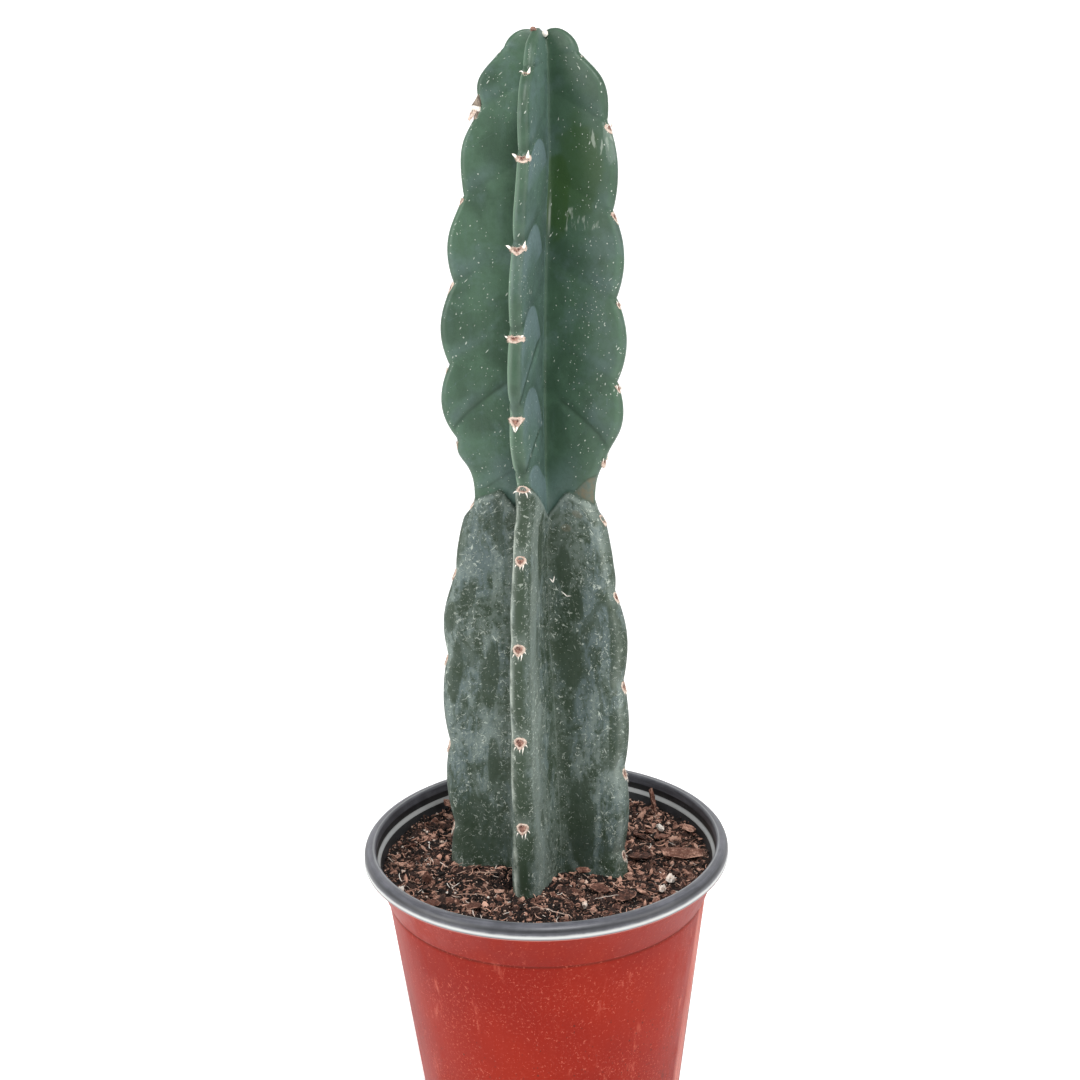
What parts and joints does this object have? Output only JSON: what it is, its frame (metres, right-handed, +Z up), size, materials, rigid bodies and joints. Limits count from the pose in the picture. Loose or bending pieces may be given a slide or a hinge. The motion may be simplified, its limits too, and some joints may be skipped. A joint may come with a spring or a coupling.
{
  "type": "potted cactus",
  "caption": "Columnar cactus with scalloped, spined ribs and a waist between its older and its younger growth, standing in bark-rich potting mix in a terracotta-red plastic nursery pot",
  "frame": {"origin": "on the surface that the pot stands on, under the middle of the pot", "axes": "+Z up along the pot's axis, -Y towards the viewer, +X to the viewer's right"},
  "size_m": [0.152, 0.152, 0.4615],
  "materials": {
    "pot_plastic": "thin thermoformed sheet, terracotta-red outside, black inside, with a satin grey lip",
    "potting_mix": "loose dark mix of bark chips, pale fibres and white grains",
    "cactus_skin": "waxy green skin with a glaucous bloom on its flanks, small pale specks and cream felt at the areoles"
  },
  "bodies": {
    "root": {"pot": "pot_plastic", "potting_mix": "potting_mix", "stem": "cactus_skin"}
  },
  "joints": []
}
